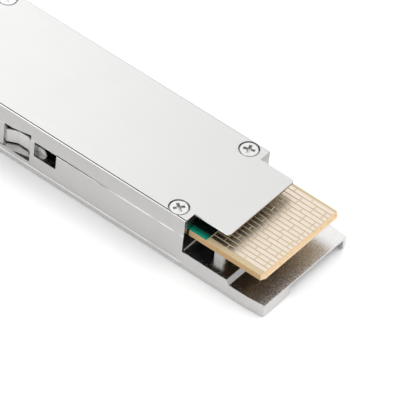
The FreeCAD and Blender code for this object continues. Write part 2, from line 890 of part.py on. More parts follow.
def make_ferrule_clip():
    body = new_body("ferrule_clip")
    half = size.clip_width / 2
    low = port_middle - size.clip_height / 2
    high = port_middle + size.clip_height / 2
    slot_half = size.clip_slot_width / 2
    slot_top = port_middle + size.clip_slot_height / 2
    # the slot is open below, so that the clip drops over the ribbon
    outline = [
        (-half, low),
        (-slot_half, low),
        (-slot_half, slot_top),
        (slot_half, slot_top),
        (slot_half, low),
        (half, low),
        (half, high),
        (-half, high),
    ]
    pad(body, "clip_plate", "YZ_Plane", rib_rear, rib_rear + size.clip_thickness, outline)
    return body


def make_port_receptacle():
    body = new_body("port_receptacle")
    flange = rectangle(-receptacle_half, receptacle_half, receptacle_bottom, receptacle_top)
    pad(body, "receptacle_body", "YZ_Plane", receptacle_front, receptacle_rear, flange)
    snout_half = size.snout_width / 2
    snout_front = nose_front + size.port_recess
    snout = rectangle(-snout_half, snout_half, receptacle_bottom, receptacle_top)
    pad(body, "snout", "YZ_Plane", snout_front, receptacle_front, snout)
    port_half = size.port_width / 2
    port_low = port_middle - size.port_height / 2
    port_high = port_middle + size.port_height / 2
    port_end = snout_front + size.port_depth
    port = rectangle(-port_half, port_half, port_low, port_high)
    pocket(body, "port", "YZ_Plane", snout_front, port_end, port)
    key_half = size.key_width / 2
    keyway = rectangle(-key_half, key_half, port_middle, port_high + size.key_depth)
    pocket(body, "keyway", "YZ_Plane", snout_front, port_end, keyway)
    hole_half = size.ferrule_width / 2 + size.ferrule_fit
    hole_low = port_middle - size.ferrule_height / 2 - size.ferrule_fit
    hole_high = port_middle + size.ferrule_height / 2 + size.ferrule_fit
    hole = rectangle(-hole_half, hole_half, hole_low, hole_high)
    pocket(body, "ferrule_hole", "YZ_Plane", port_end, receptacle_rear, hole)
    # barbed hooks on both sides of the port hold the plug
    hook_front = snout_front + size.hook_inset
    hook = [
        (hook_front, port_half),
        (hook_front + size.hook_length, port_half - size.hook_reach),
        (hook_front + size.hook_length, port_half),
    ]
    hook_low = port_middle - size.hook_height / 2
    pad(body, "hooks", "XY_Plane", hook_low, hook_low + size.hook_height, *both_sides(hook))
    return body


def make_port_gaskets():
    strips = []
    inner = size.snout_width.value / 2 + size.receptacle_clearance.value
    width = receptacle_half.value - inner
    height = receptacle_top.value - receptacle_bottom.value
    for left in (inner, -inner - width):
        corner = FreeCAD.Vector(nose_inside.value, left, receptacle_bottom.value)
        strips.append(Part.makeBox(size.gasket_thickness.value, width, height, corner))
    return group("port_gaskets", strips)


def make_latch_arm(name, side):
    body = new_body(name)
    route = [
        (nose_front - size.arm_front_reach, size.arm_depth),
        (-size.arm_dip_start, size.arm_depth),
        (-size.arm_dip_floor_start, size.arm_dip_depth),
        (-size.arm_dip_floor_end, size.arm_dip_depth),
        (-size.arm_tip_start, size.arm_tip_depth),
        (-size.arm_tip_end, size.arm_tip_depth),
    ]
    outer = [(x, (wall_half - depth) * side) for x, depth in route]
    inner = [(x, (wall_half - depth - size.arm_thickness) * side) for x, depth in route]
    pad(body, f"{name}_strip", "XY_Plane", arm_bottom, arm_top, outer + inner[::-1])
    lug = rectangle(lug_front, lug_front + size.lug_thickness,
                    (arm_inner - size.lug_reach) * side, arm_inner * side)
    lug_low = arm_middle - size.lug_height / 2
    pad(body, f"{name}_lug", "XY_Plane", lug_low, lug_low + size.lug_height, lug)
    tip = -size.arm_tip_end.value
    ends = [FreeCAD.Vector(tip, 0, arm_bottom.value), FreeCAD.Vector(tip, 0, arm_top.value)]
    fillet(body, f"{name}_tip", size.arm_tip_corner, ALONG_Y, ends)
    return body


def make_return_spring(name, side):
    wire = size.spring_wire.value
    start = rib_rear.value
    stop = lug_front.value
    coil_radius = (size.spring_diameter.value - wire) / 2
    coil_length = stop - start - wire
    pitch = coil_length / size.spring_turns.value
    helix = Part.makeHelix(pitch, coil_length, coil_radius)
    inner = coil_radius - wire / 2
    outer = coil_radius + wire / 2
    # square wire
    corners = [(inner, -wire / 2), (outer, -wire / 2), (outer, wire / 2), (inner, wire / 2)]
    points = [FreeCAD.Vector(across, 0, along) for across, along in corners]
    section = Part.makePolygon(points + points[:1])
    coil = Part.Wire(helix).makePipeShell([section], True, True)
    axis_y = side * (arm_inner.value - size.lug_reach.value / 2)
    centre = FreeCAD.Vector(start + wire / 2, axis_y, arm_middle.value)
    feature = doc.addObject("Part::Feature", name)
    feature.Label = name
    feature.Shape = coil
    feature.Placement = FreeCAD.Placement(centre, FreeCAD.Rotation(ALONG_Y, 90))
    return feature


def make_pull_tab():
    body = new_body("pull_tab")
    tab_rear = nose_front - size.tab_gap
    tab_end = tab_rear - size.tab_length
    outer = half_width - size.tab_side_inset
    inner = outer - size.tab_thickness
    bend = tab_end + outer
    inner_bend = bend + size.grip_thickening
    low = arm_middle - size.tab_height / 2
    high = low + size.tab_height
    pad(body, "prongs", "XY_Plane", low, high, rectangle(bend, tab_rear, -outer, outer))
    round_pad(body, "loop_end", low, high, [(bend, 0)], outer)
    pocket(body, "loop_space", "XY_Plane", low, high, rectangle(inner_bend, tab_rear, -inner, inner))
    grip_space = round_pocket(body, "grip_space", low, high, [(inner_bend, 0)], inner)
    doc.recompute()
    rims = flat_rims(grip_space.Shape, (low.value, high.value), tab_rear.value)
    edges = body.newObject("PartDesign::Chamfer", "tab_edges")
    edges.Base = (grip_space, rims)
    edges.setExpression("Size", size.tab_edge.formula)
    socket_inner = arm_inner - size.tab_socket_clearance
    socket_outer = arm_outer + size.tab_socket_clearance
    socket_end = nose_front - size.arm_front_reach - size.tab_socket_clearance
    socket = rectangle(socket_end, tab_rear, socket_inner, socket_outer)
    pocket(body, "arm_sockets", "XY_Plane", arm_bottom - size.tab_socket_clearance,
           arm_top + size.tab_socket_clearance, *both_sides(socket))
    return body


driver_half = size.driver_width / 2
driver_low = board_bottom - size.driver_height
driver_rear = size.driver_length - size.driver_front
driver_middle = size.driver_spacing / 2
controller_half = size.controller_size / 2
controller_rear = size.controller_size - size.controller_front
pad_half = size.processor_width / 2 - size.processor_lid_inset
pad_front = size.processor_lid_inset - size.processor_front
pad_rear = processor_rear - size.processor_lid_inset
ribbon_low = port_middle - size.ribbon_thickness / 2
ribbon_half = size.ribbon_width / 2

subparts = [
    make_housing_base(),
    make_housing_cover(),
    make_cover_screws(),
    make_circuit_board(),
    make_solder_mask("solder_mask_upper", core_top, size.board_top),
    make_solder_mask("solder_mask_lower", board_bottom, core_bottom),
    make_contact_pads("contact_pads_upper", UPPER_COLUMNS, core_top),
    make_contact_pads("contact_pads_lower", LOWER_COLUMNS, core_bottom - size.contact_thickness),
    make_signal_processor(),
    block("processor_thermal_pad", (pad_front, -pad_half, pedestal_top),
          (pad_rear, pad_half, processor_bottom)),
    block("laser_driver",
          (-size.driver_front, -driver_middle - driver_half, driver_low),
          (driver_rear, driver_half - driver_middle, board_bottom)),
    block("receiver_amplifier",
          (-size.driver_front, driver_middle - driver_half, driver_low),
          (driver_rear, driver_middle + driver_half, board_bottom)),
    block("microcontroller",
          (-size.controller_front, -controller_half, board_bottom - size.controller_height),
          (controller_rear, controller_half, board_bottom)),
    make_inductors(),
    make_capacitors(),
    make_lens_block(),
    block("fibre_ribbon",
          (rib_rear, -ribbon_half, ribbon_low),
          (-size.lens_front, ribbon_half, ribbon_low + size.ribbon_thickness)),
    make_ferrule(),
    make_guide_pins(),
    make_ferrule_clip(),
    make_port_receptacle(),
    make_port_gaskets(),
    make_latch_arm("left_latch_arm", -1),
    make_latch_arm("right_latch_arm", 1),
    make_return_spring("left_return_spring", -1),
    make_return_spring("right_return_spring", 1),
    make_pull_tab(),
]

doc.recompute()
for item in doc.Objects:
    if "Invalid" in item.State or "Error" in item.State:
        raise RuntimeError(f"{item.Name} failed: {item.State}")
for item in subparts:
    if item.Shape.isNull() or not item.Shape.isValid():
        raise RuntimeError(f"{item.Label} has no valid shape")

os.makedirs("parts", exist_ok=True)
for item in subparts:
    item.Shape.exportStep(f"parts/{item.Label}.step")
    box = item.Shape.BoundBox
    print(f"{item.Label}: {len(item.Shape.Solids)} solids, volume {item.Shape.Volume:.2f}, "
          f"x {box.XMin:.2f} to {box.XMax:.2f}, y {box.YMin:.2f} to {box.YMax:.2f}, "
          f"z {box.ZMin:.2f} to {box.ZMax:.2f}")
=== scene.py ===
import json
import math

import bpy
from mathutils import Matrix, Vector


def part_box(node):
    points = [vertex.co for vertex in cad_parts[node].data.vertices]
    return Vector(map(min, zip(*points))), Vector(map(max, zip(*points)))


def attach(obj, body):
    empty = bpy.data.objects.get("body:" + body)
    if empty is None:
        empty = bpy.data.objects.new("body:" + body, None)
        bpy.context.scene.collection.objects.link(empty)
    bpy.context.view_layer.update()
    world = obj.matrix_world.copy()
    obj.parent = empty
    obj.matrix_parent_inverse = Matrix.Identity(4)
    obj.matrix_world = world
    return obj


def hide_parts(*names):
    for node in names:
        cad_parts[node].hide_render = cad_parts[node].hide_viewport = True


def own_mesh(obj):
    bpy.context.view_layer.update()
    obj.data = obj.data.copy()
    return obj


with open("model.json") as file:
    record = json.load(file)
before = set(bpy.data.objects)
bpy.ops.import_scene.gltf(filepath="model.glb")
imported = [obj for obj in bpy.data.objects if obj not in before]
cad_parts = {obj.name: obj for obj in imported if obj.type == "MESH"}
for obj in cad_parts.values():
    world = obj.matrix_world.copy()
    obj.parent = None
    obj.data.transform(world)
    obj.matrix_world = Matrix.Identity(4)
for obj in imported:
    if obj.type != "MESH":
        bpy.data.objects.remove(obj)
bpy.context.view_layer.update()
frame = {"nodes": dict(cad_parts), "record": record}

# Looks of a pluggable optical transceiver: satin nickel housing, gold card edge, sliding latch.

MM = 0.001

# camera, as solved from the photograph
IMAGE_SIDE = 416
PIXELS_PER_MM = 7.45
ORIGIN_PIXEL = (222.94, 230.86)
CAMERA_AZIMUTH = math.radians(34.39)
CAMERA_ELEVATION = math.radians(45.35)
CAMERA_ROLL = math.radians(6.33)
CAMERA_DISTANCE = 0.9
SENSOR_WIDTH = 36.0

# places of the cover screws in millimetres, on both sides of the middle
SCREW_X = (-2.35, -44.75)
SCREW_Y = 7.48

# return springs
SPRING_WIRE = 0.24 * MM
SPRING_TURNS = 4
TURN_STEPS = 24
WIRE_SIDES = 8

# studio
FLOOR_SIZE = 8.0
FLOOR_DROP = 0.00002
FLOOR_WHITE = (0.97, 0.97, 0.97, 1.0)
TENT_LIGHT = 1.1
HORIZON_LIGHT = 0.28
TENT_TOP = 0.6
# the tent's brighter side, behind the part and a little towards its card end; its length is how much brighter
BRIGHT_SIDE = Vector((0.15, 0.465, 0.0))
# softboxes: place, target, side length and power
LAMPS = {
    "key_softbox": ((0.32, 0.28, 1.0), (0, 0, 0), 0.6, 2.8),
    "nose_softbox": ((-0.29, 0.203, 0.257), (-0.151, 0, 0), 0.21, 0.1),
    "rim_softbox": ((-0.32, -0.56, 0.46), (0, 0, 0), 0.5, 0.85),
    "back_softbox": ((-0.36, 0.85, 0.13), (-0.02, 0, 0.006), 0.5, 1.1),
}


class Finish:
    """A principled material whose detail is worked out from the object's own coordinates, in millimetres."""

    def __init__(self, name, colour, metallic=0.0, roughness=0.5):
        self.material = bpy.data.materials.new(name)
        self.material.use_nodes = True
        self.tree = self.material.node_tree
        self.shader = self.tree.nodes["Principled BSDF"]
        self.set("Base Color", (*colour, 1.0))
        self.set("Metallic", metallic)
        self.set("Roughness", roughness)
        self.normal = None
        place = self.node("ShaderNodeTexCoord").outputs["Object"]
        self.place = self.scaled(place, (1 / MM, 1 / MM, 1 / MM))

    def set(self, socket, value):
        self.shader.inputs[socket].default_value = value

    def drive(self, socket, source):
        self.tree.links.new(source, self.shader.inputs[socket])

    def node(self, kind, **links):
        made = self.tree.nodes.new(kind)
        for socket, value in links.items():
            target = made.inputs[socket.replace("_", " ")]
            if isinstance(value, bpy.types.NodeSocket):
                self.tree.links.new(value, target)
            else:
                target.default_value = value
        return made

    def scaled(self, vector, factors):
        made = self.node("ShaderNodeVectorMath")
        made.operation = "MULTIPLY"
        self.tree.links.new(vector, made.inputs[0])
        made.inputs[1].default_value = factors
        return made.outputs["Vector"]

    def math(self, operation, first, second=0.0):
        made = self.node("ShaderNodeMath")
        made.operation = operation
        for index, value in enumerate((first, second)):
            if isinstance(value, bpy.types.NodeSocket):
                self.tree.links.new(value, made.inputs[index])
            else:
                made.inputs[index].default_value = value
        return made.outputs["Value"]

    def product(self, first, *others):
        for other in others:
            first = self.math("MULTIPLY", first, other)
        return first

    def axis(self, name, vector=None):
        return self.node("ShaderNodeSeparateXYZ", Vector=vector or self.place).outputs[name]

    def off_middle(self):
        """Distance from the middle plane, across the part."""
        return self.math("ABSOLUTE", self.axis("Y"))

    def facing(self, name):
        """How much the surface faces along an axis of the frame, from -1 to 1; no piece is ever rotated."""
        normal = self.node("ShaderNodeNewGeometry").outputs["Normal"]
        return self.axis(name, normal)

    def facing_either(self, name):
        """How much the surface faces one way or the other along an axis, from 0 to 1."""
        return self.math("ABSOLUTE", self.facing(name))

    def noise(self, per_mm, detail=2.0, stretch=(1, 1, 1)):
        vector = self.scaled(self.place, stretch)
        made = self.node("ShaderNodeTexNoise", Vector=vector, Scale=per_mm, Detail=detail)
        return made.outputs["Fac"]

    def specks(self, per_mm, size):
        """Sparse round specks: 1 in a speck, 0 elsewhere."""
        cells = self.node("ShaderNodeTexVoronoi", Vector=self.place, Scale=per_mm)
        return self.span(cells.outputs["Distance"], size, 0.0, 0.0, 1.0)

    def span(self, source, low, high, to_low, to_high):
        """Maps low to to_low and high to to_high, held at both ends."""
        made = self.node("ShaderNodeMapRange", Value=source, From_Min=low, From_Max=high,
                         To_Min=to_low, To_Max=to_high)
        return made.outputs["Result"]

    def band(self, source, start, full, leave, end, level=1.0):
        """Rises to a level from start to full and falls back to nothing from leave to end."""
        return self.product(self.span(source, start, full, 0.0, level), self.span(source, leave, end, 1.0, 0.0))

    def blend(self, factor, first, second):
        made = self.node("ShaderNodeMix")
        made.data_type = "RGBA"
        self.tree.links.new(factor, made.inputs["Factor"])
        for socket, value in ((made.inputs["A"], first), (made.inputs["B"], second)):
            if isinstance(value, bpy.types.NodeSocket):
                self.tree.links.new(value, socket)
            else:
                socket.default_value = (*value, 1.0)
        return made.outputs["Result"]

    def soft_edges(self, share, radius_mm):
        """Shades edges as if rounded, by a share from 0 to 1; called before any bump."""
        radius = self.math("MULTIPLY", share, radius_mm * MM)
        self.normal = self.node("ShaderNodeBevel", Radius=radius).outputs["Normal"]
        self.drive("Normal", self.normal)

    def bump(self, height, depth_mm):
        made = self.node("ShaderNodeBump", Height=height, Distance=depth_mm * MM, Strength=1.0)
        if self.normal:
            self.tree.links.new(self.normal, made.inputs["Normal"])
        self.normal = made.outputs["Normal"]
        self.drive("Normal", self.normal)


def casting_colour(finish, level):
    """Painted light and shade: lighter at the foot of the walls, painted shade on the end faces, and a painted
    highlight on the sides' proud edges.
    """
    mottle = finish.noise(0.35, detail=4.0)
    flat = finish.blend(mottle, (0.61, 0.605, 0.598), (0.64, 0.635, 0.628))
    # Painted light and shade: the upright walls run from a lighter tone at their foot to a darker one at their
    # shoulder, apart from the level faces' tone.
    foot = finish.blend(mottle, (0.64, 0.634, 0.626), (0.67, 0.664, 0.656))
    shoulder = finish.blend(mottle, (0.5, 0.494, 0.487), (0.53, 0.524, 0.517))
    # Painted shade on the end faces, fading in from 2.5 to 6 mm up.
    end = finish.blend(mottle, (0.4, 0.396, 0.39), (0.43, 0.426, 0.42))
    height = finish.axis("Z")
    ends = finish.span(finish.facing_either("X"), 0.7, 0.95, 0.0, 1.0)
    wall = finish.blend(finish.span(height, 0.0, 8.5, 0.0, 1.0), foot, shoulder)
    upright = finish.blend(finish.product(ends, finish.span(height, 2.5, 6.0, 0.0, 1.0)), wall, end)
    plating = finish.blend(level, upright, flat)
    # Painted highlight along the ledge and the band near the foot of the outer sides, in patches from noise.
    ledge = finish.product(finish.band(height, 5.52, 5.57, 5.66, 5.7),
                           finish.span(finish.axis("X"), -26.0, -24.0, 0.0, 1.0))
    foot_band = finish.band(height, 0.78, 0.82, 0.92, 0.96, level=0.4)
    outside = finish.span(finish.off_middle(), 9.05, 9.08, 0.0, 1.0)
    highlight_breakup = finish.span(finish.noise(1.1, detail=2.0, stretch=(0.3, 1, 1)), 0.36, 0.52, 0.0, 1.0)
    bright = finish.product(finish.math("MAXIMUM", ledge, foot_band), outside, highlight_breakup)
    return finish.blend(bright, plating, (0.93, 0.925, 0.915))


def casting_roughness(finish, tray):
    """Satin, duller on the sides; the tray is duller towards its end and speckled there and along its edges."""
    polish = finish.span(finish.noise(1.7, detail=3.0), 0.3, 0.7, 0.18, 0.24)
    sides = finish.span(finish.facing_either("Y"), 0.3, 0.8, 0.0, 0.22)
    blur = finish.product(finish.span(finish.axis("X"), 9.5, 14.0, 0.0, 0.14), tray)
    satin = finish.math("ADD", finish.math("ADD", polish, sides), blur)
    speckle = finish.span(finish.noise(8.0, detail=0.0), 0.46, 0.56, -0.1, 0.1)
    tray_end = finish.span(finish.axis("X"), 11.5, 14.2, 0.08, 1.0)
    tray_edge = finish.span(finish.off_middle(), 7.5, 9.0, 0.0, 0.8)
    speckle = finish.product(speckle, finish.math("MAXIMUM", tray_end, tray_edge), tray)
    return finish.math("ADD", satin, speckle)


def nickel_casting():
    """Satin plating on a casting, with a fine grain and softened edges on the tray."""
    finish = Finish("nickel_casting", (0.6, 0.595, 0.588), metallic=1.0)
    level = finish.span(finish.facing_either("Z"), 0.1, 0.6, 0.0, 1.0)
    tray = finish.product(finish.span(finish.axis("X"), -0.2, 0.4, 0.0, 1.0), level)
    finish.drive("Base Color", casting_colour(finish, level))
    finish.drive("Roughness", casting_roughness(finish, tray))
    finish.soft_edges(finish.span(finish.axis("X"), 0.3, 0.8, 0.0, 1.0), 0.14)
    finish.bump(finish.noise(5.0, detail=3.0), 0.002)
    finish.bump(finish.product(finish.noise(4.5, detail=1.0), tray), 0.01)
    return finish.material


def nickel_sheet():
    """Plated on its outer faces, with painted shade in the counterbores and on the end faces, darker painted
    shade underneath and on the tongue's edge, and a painted highlight on the side faces.
    """
    finish = Finish("nickel_sheet", (0.54, 0.54, 0.535), metallic=1.0)
    clouds = finish.noise(0.12, detail=3.0)
    plated = finish.blend(clouds, (0.52, 0.52, 0.516), (0.54, 0.54, 0.536))
    # Painted shade, used down in the counterbores and on the end faces.
    shade_tone = finish.blend(clouds, (0.34, 0.34, 0.335), (0.4, 0.4, 0.394))
    # Painted shade, a near black brown, on the downward faces and on the tongue's end edge.
    dark_shade = finish.blend(clouds, (0.17, 0.11, 0.05), (0.22, 0.15, 0.075))
    # Painted highlight on the faces that face sideways.
    painted_sheen = finish.blend(clouds, (0.88, 0.88, 0.87), (0.92, 0.92, 0.91))
    sides = finish.span(finish.facing_either("Y"), 0.9, 0.99, 0.0, 1.0)
    outside = finish.span(finish.axis("Z"), 8.28, 8.42, 0.0, 1.0)
    below = finish.span(finish.facing("Z"), -0.3, -0.8, 0.0, 1.0)
    tongue = finish.span(finish.axis("X"), 3.0, 4.0, 0.0, 1.0)
    edge = finish.product(finish.span(finish.facing("X"), 0.5, 0.9, 0.0, 1.0), tongue)
    ends = finish.span(finish.facing_either("X"), 0.7, 0.95, 0.0, 1.0)
    shaded = finish.blend(finish.math("SUBTRACT", outside, ends), shade_tone, plated)
    outer = finish.blend(sides, shaded, painted_sheen)
    finish.drive("Base Color", finish.blend(finish.math("MAXIMUM", below, edge), outer, dark_shade))
    rolled = finish.noise(5.0, detail=2.0, stretch=(0.06, 1, 1))
    finish.drive("Roughness", finish.span(rolled, 0.3, 0.7, 0.28, 0.33))
    finish.bump(finish.noise(4.0, detail=2.0), 0.002)
    return finish.material


def plated_steel():
    finish = Finish("plated_steel", (0.8, 0.8, 0.79), metallic=1.0)
    streaks = finish.noise(6.0, detail=2.0)
    finish.drive("Roughness", finish.span(streaks, 0.3, 0.7, 0.18, 0.3))
    finish.drive("Base Color", finish.blend(finish.noise(2.0), (0.76, 0.76, 0.75), (0.84, 0.84, 0.83)))
    return finish.material


def screw_head():
    """Bright on the head's top, with painted shade down in the cross and painted light on the side of the head.
    """
    finish = Finish("screw_head", (0.61, 0.61, 0.605), metallic=1.0)
    wear = finish.noise(3.0, detail=3.0)
    bright = finish.blend(wear, (0.55, 0.55, 0.545), (0.61, 0.61, 0.605))
    # Painted shade down in the cross and on the head below its top.
    shaded = finish.blend(wear, (0.44, 0.44, 0.435), (0.58, 0.58, 0.57))
    # Painted light on the upright side of the head, which is also made nearly non-metallic.
    rim_light = finish.blend(wear, (0.86, 0.86, 0.85), (0.94, 0.94, 0.93))
    top = finish.span(finish.axis("Z"), 8.34, 8.43, 0.0, 1.0)
    across = finish.math("SUBTRACT", finish.off_middle(), SCREW_Y)
    middle = (SCREW_X[0] + SCREW_X[1]) / 2
    half_pitch = (SCREW_X[0] - SCREW_X[1]) / 2
    from_middle = finish.math("ABSOLUTE", finish.math("SUBTRACT", finish.axis("X"), middle))
    along = finish.math("SUBTRACT", from_middle, half_pitch)
    square = finish.math("ADD", finish.product(across, across), finish.product(along, along))
    rim = finish.span(finish.math("SQRT", square), 1.18, 1.23, 0.0, 1.0)
    upright = finish.span(finish.facing("Z"), 0.3, 0.8, 1.0, 0.0)
    side = finish.product(rim, upright)
    finish.drive("Base Color", finish.blend(side, finish.blend(top, shaded, bright), rim_light))
    finish.drive("Metallic", finish.span(side, 0.0, 1.0, 1.0, 0.15))
    finish.drive("Roughness", finish.span(wear, 0.3, 0.7, 0.22, 0.34))
    return finish.material


def spring_steel():
    finish = Finish("spring_steel", (0.84, 0.835, 0.825), metallic=0.35)
    rolled = finish.noise(8.0, detail=2.0, stretch=(0.08, 1, 1))
    finish.drive("Roughness", finish.span(rolled, 0.3, 0.7, 0.5, 0.62))
    finish.drive("Base Color", finish.blend(rolled, (0.81, 0.805, 0.795), (0.87, 0.865, 0.855)))
    finish.bump(rolled, 0.003)
    return finish.material


def glass_laminate():
    """Layered edges, with painted shade on the long edges against the paler mating edge; golden faces, with
    painted shade underneath and near black where the card runs into the housing.
    """
    finish = Finish("glass_laminate", (0.7, 0.5, 0.26), roughness=0.55)
    finish.set("Specular IOR Level", 0.25)
    layers = finish.noise(9.0, detail=2.0, stretch=(0.12, 0.12, 1))
    # Painted shade: the long edges are darker than the mating edge.
    side = finish.blend(layers, (0.46, 0.29, 0.135), (0.59, 0.385, 0.185))
    mating = finish.blend(layers, (0.76, 0.57, 0.36), (0.87, 0.68, 0.455))
    dots = finish.specks(1.6, 0.24)
    mating = finish.blend(dots, mating, (0.4, 0.22, 0.1))
    edge = finish.blend(finish.span(finish.facing("X"), 0.3, 0.7, 0.0, 1.0), side, mating)
    weave = finish.noise(3.0, detail=2.0)
    face = finish.blend(weave, (0.46, 0.36, 0.215), (0.56, 0.46, 0.295))
    # Painted shade on the downward faces, dark brown.
    under = finish.blend(weave, (0.11, 0.055, 0.018), (0.15, 0.08, 0.028))
    upward = finish.facing("Z")
    card = finish.blend(finish.span(upward, 0.92, 0.99, 0.0, 1.0), edge, face)
    # Painted shade: nearly black where the card runs into the housing.
    card = finish.blend(finish.span(finish.axis("X"), 0.15, 0.25, 0.0, 1.0), (0.01, 0.03, 0.02), card)
    finish.drive("Base Color", finish.blend(finish.span(upward, -0.7, -0.95, 0.0, 1.0), card, under))
    finish.bump(layers, 0.01)
    return finish.material


def solder_mask():
    """Green along the upper edges of the card; near black elsewhere, as painted shade under the tongue and on
    the lower face.
    """
    finish = Finish("solder_mask", (0.003, 0.195, 0.122), roughness=0.2)
    tracks = finish.noise(2.6, detail=1.0, stretch=(0.05, 1, 1))
    copper = finish.span(tracks, 0.5, 0.54, 0.0, 1.0)
    green = finish.blend(copper, (0.003, 0.2, 0.125), (0.006, 0.26, 0.165))
    upper = finish.span(finish.axis("Z"), 5.8, 6.0, 0.0, 1.0)
    # Painted shade: near black everywhere but the upper face's outer strip.
    margin = finish.product(finish.span(finish.off_middle(), 6.9, 7.5, 0.0, 1.0), upper)
    finish.drive("Base Color", finish.blend(margin, (0.004, 0.012, 0.01), green))
    finish.bump(copper, 0.02)
    finish.drive("Roughness", finish.span(finish.noise(4.0), 0.3, 0.7, 0.16, 0.26))
    return finish.material


def contact_gold():
    """Wiped by the mating springs on the upper face; glossier on the lower one, with painted shade making it
    darker and deeper in colour.
    """
    finish = Finish("contact_gold", (0.655, 0.585, 0.51), metallic=1.0)
    wiped = finish.noise(1.7, detail=3.0, stretch=(0.08, 1, 1))
    pale = finish.blend(wiped, (0.585, 0.505, 0.42), (0.645, 0.575, 0.5))
    # Painted shade: the darker, deeper gold of the lower face.
    shaded_gold = finish.blend(wiped, (0.54, 0.385, 0.225), (0.62, 0.45, 0.27))
    upper = finish.span(finish.facing("Z"), -0.5, 0.5, 0.0, 1.0)
    finish.drive("Base Color", finish.blend(upper, shaded_gold, pale))
    worn = finish.span(wiped, 0.3, 0.7, 0.28, 0.44)
    fresh = finish.span(wiped, 0.3, 0.7, 0.1, 0.16)
    lifted = finish.product(finish.math("SUBTRACT", worn, fresh), upper)
    finish.drive("Roughness", finish.math("ADD", fresh, lifted))
    finish.bump(finish.noise(10.0, detail=2.0, stretch=(0.06, 1, 1)), 0.002)
    return finish.material


def moulded(name, dark, light, rough=(0.4, 0.6)):
    """A moulded or pressed material with a fine grain, between two colours and two roughnesses."""
    finish = Finish(name, light)
    grain = finish.noise(6.0, detail=3.0)
    finish.drive("Base Color", finish.blend(finish.noise(0.8, detail=3.0), dark, light))
    finish.drive("Roughness", finish.span(grain, 0.3, 0.7, *rough))
    finish.bump(grain, 0.01)
    return finish.material


FINISHES = {
    "nickel_zinc": nickel_casting(),
    "nickel_cover": nickel_sheet(),
    "screw_steel": plated_steel(),
    "laminate": glass_laminate(),
    "solder_mask": solder_mask(),
    "contact_gold": contact_gold(),
    "chip_black": moulded("chip_epoxy", (0.02, 0.02, 0.022), (0.035, 0.035, 0.037)),
    "thermal_pad": moulded("thermal_pad", (0.3, 0.36, 0.44), (0.38, 0.45, 0.54), rough=(0.7, 0.9)),
    "ferrite": moulded("ferrite", (0.09, 0.09, 0.09), (0.14, 0.14, 0.14), rough=(0.55, 0.75)),
    "capacitor_tan": moulded("capacitor_ceramic", (0.38, 0.26, 0.15), (0.5, 0.36, 0.23), rough=(0.3, 0.5)),
    "lens_amber": moulded("lens_resin", (0.5, 0.25, 0.05), (0.64, 0.35, 0.09), rough=(0.1, 0.2)),
    "fibre_coat": moulded("fibre_coat", (0.25, 0.48, 0.54), (0.34, 0.6, 0.66), rough=(0.25, 0.4)),
    "ferrule_plastic": moulded("ferrule_moulding", (0.09, 0.075, 0.065), (0.14, 0.12, 0.105)),
    "spring_steel": spring_steel(),
    "port_plastic": moulded("port_moulding", (0.014, 0.014, 0.014), (0.026, 0.026, 0.026)),
    "gasket_rubber": moulded("gasket_rubber", (0.14, 0.14, 0.14), (0.2, 0.2, 0.2), rough=(0.7, 0.9)),
    "tab_plastic": moulded("tab_moulding", (0.035, 0.035, 0.038), (0.055, 0.055, 0.06), rough=(0.45, 0.6)),
}

NODE_FINISHES = {"cover_screws": screw_head()}

# the most that edges are rounded by, in millimetres; short edges hold the whole piece back to less,
# which leaves about 0.005 on the housing base, 0.01 on the screws and the ferrule and 0.02 on the cover
PLAIN_ROUNDING = 0.04
EDGE_ROUNDING = {
    "housing_base": 0.05,
    "housing_cover": 0.03,
    "cover_screws": 0.12,
    "pull_tab": 0.1,
    "port_receptacle": 0.1,
    "contact_pads_upper": 0.012,
    "contact_pads_lower": 0.012,
    "solder_mask_upper": 0.01,
    "solder_mask_lower": 0.01,
}
# pieces with room for their whole rounding, which aren't held back
FULLY_ROUNDED = ("left_latch_arm", "right_latch_arm", "pull_tab")
ROUNDED_ANGLE = math.radians(25)
FLAT_ANGLE = math.radians(0.4)
ROUNDING_SEGMENTS = 3
WELD_DISTANCE = 1e-6


def round_edges(piece, radius_mm):
    """Joins the split corners, merges flat facets into whole faces and rounds what is left sharp."""
    weld = piece.modifiers.new("weld", "WELD")
    weld.merge_threshold = WELD_DISTANCE
    flat = piece.modifiers.new("flat_faces", "DECIMATE")
    flat.decimate_type = "DISSOLVE"
    flat.angle_limit = FLAT_ANGLE
    bevel = piece.modifiers.new("edges", "BEVEL")
    bevel.width = radius_mm * MM
    bevel.segments = ROUNDING_SEGMENTS
    bevel.limit_method = "ANGLE"
    bevel.angle_limit = ROUNDED_ANGLE
    bevel.harden_normals = True
    bevel.use_clamp_overlap = piece.name not in FULLY_ROUNDED


def dress_nodes():
    """Gives every CAD node its material and its rounded edges."""
    for row in frame["record"]["subparts"]:
        piece = frame["nodes"][row["node"]]
        finish = NODE_FINISHES.get(row["node"], FINISHES[row["material_slot"]])
        for slot in piece.material_slots:
            slot.material = finish
        round_edges(piece, EDGE_ROUNDING.get(row["node"], PLAIN_ROUNDING))


